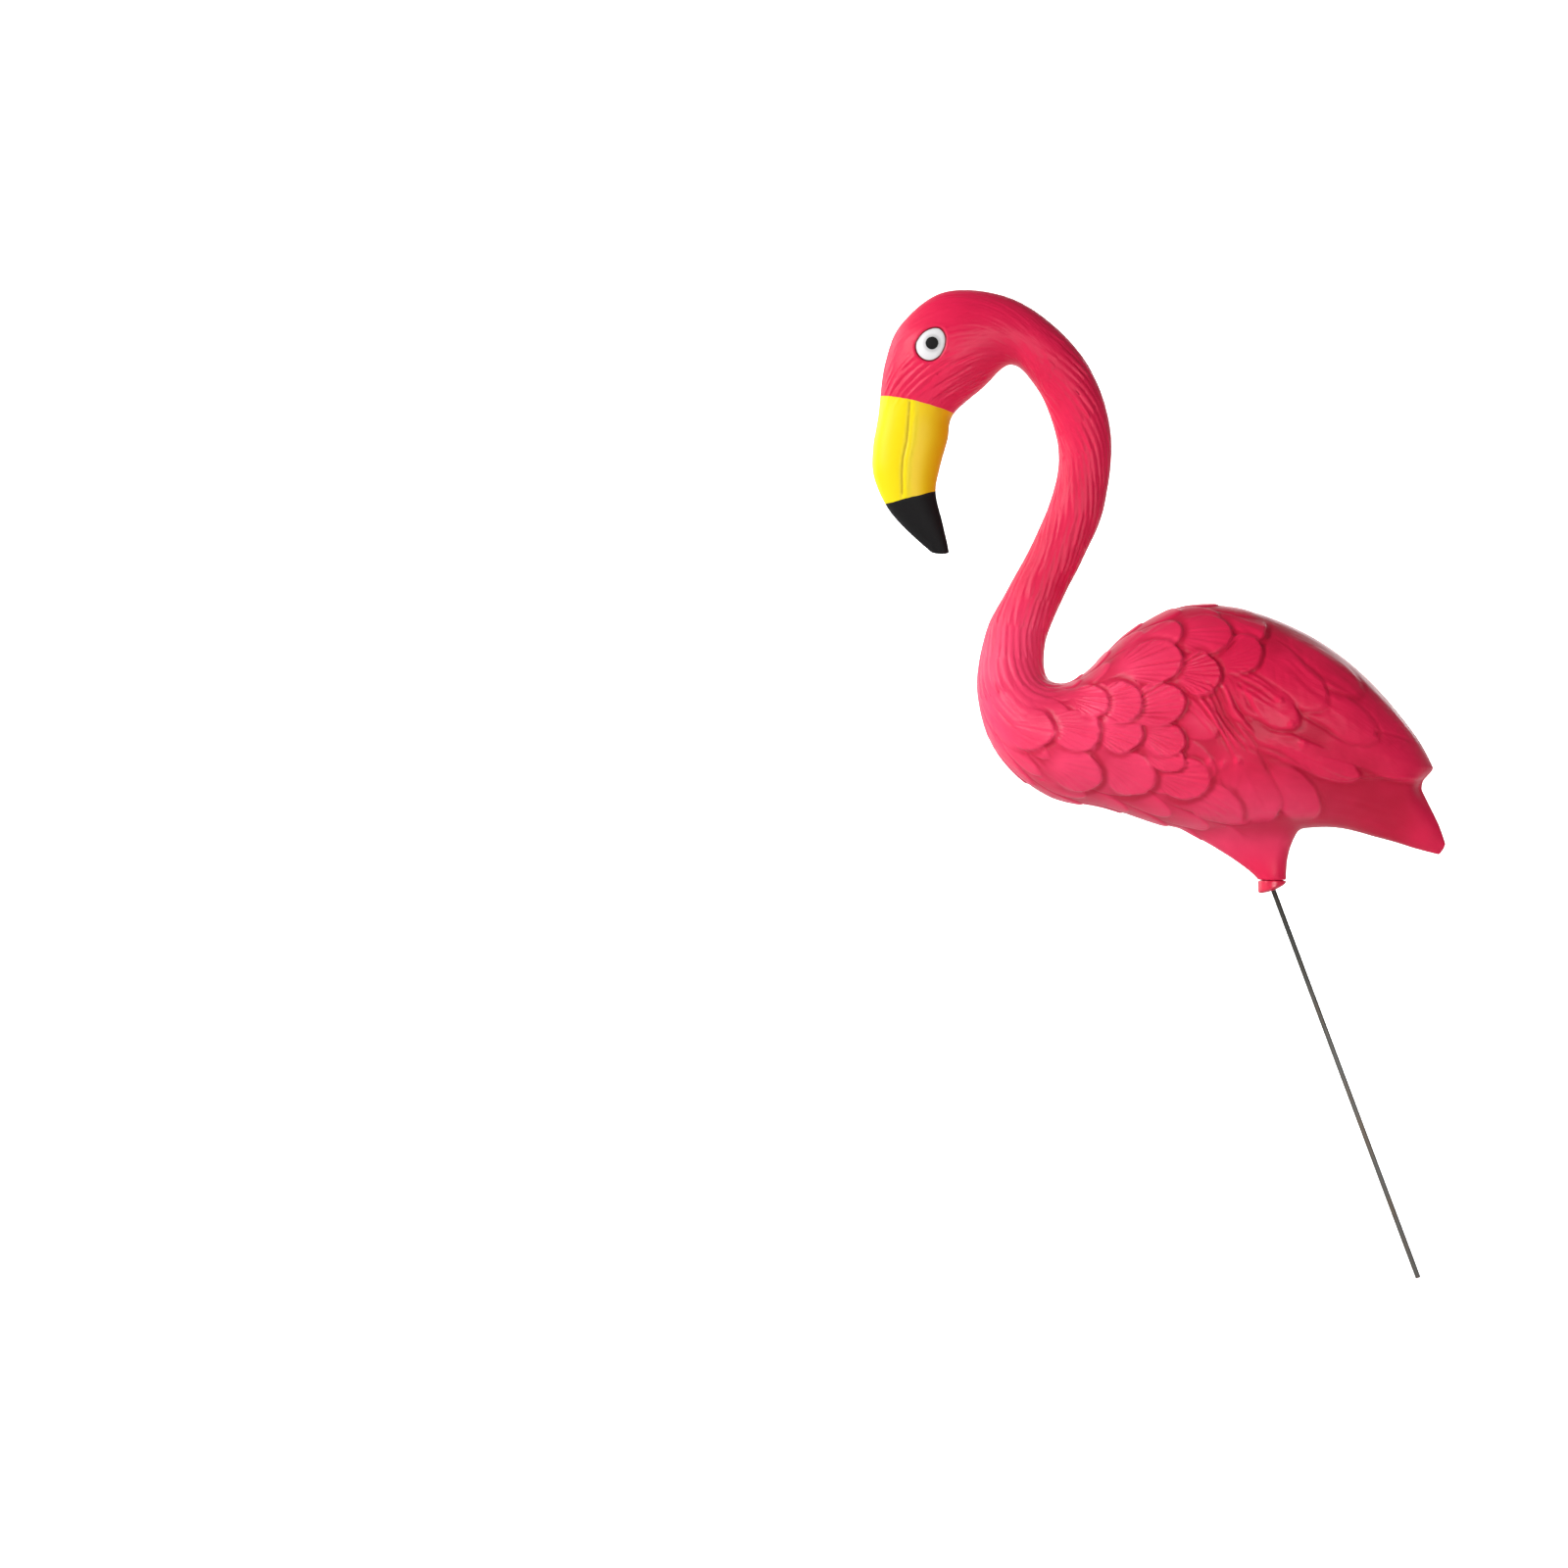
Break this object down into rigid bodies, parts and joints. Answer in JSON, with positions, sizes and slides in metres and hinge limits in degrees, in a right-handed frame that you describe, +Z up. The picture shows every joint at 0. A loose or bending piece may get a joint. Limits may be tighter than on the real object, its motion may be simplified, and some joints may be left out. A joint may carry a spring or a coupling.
{
  "type": "flamingo garden stake",
  "caption": "Moulded pink flamingo with carved feathers and a yellow, black-tipped beak, on a thin steel rod that is pushed into the ground.",
  "frame": {"origin": "centre of the rod's blunt lower end, which goes into the ground", "axes": "+Z up; the beak points to -X and the tail to +X; the bird is symmetrical across the plane Y = 0; the rod leans 20.5 degrees in the XZ plane, down towards +X"},
  "size_m": [0.3412, 0.1116, 0.5884],
  "materials": {
    "painted_resin": "satin pink moulding, beak painted yellow with a black tip, eyes painted white and black",
    "collar_plastic": "smooth, a little brighter pink than the bird",
    "steel_wire": "dull drawn wire, dark near the collar"
  },
  "bodies": {
    "root": {"flamingo_casting": "painted_resin", "rod_collar": "collar_plastic", "steel_rod": "steel_wire"}
  },
  "joints": []
}
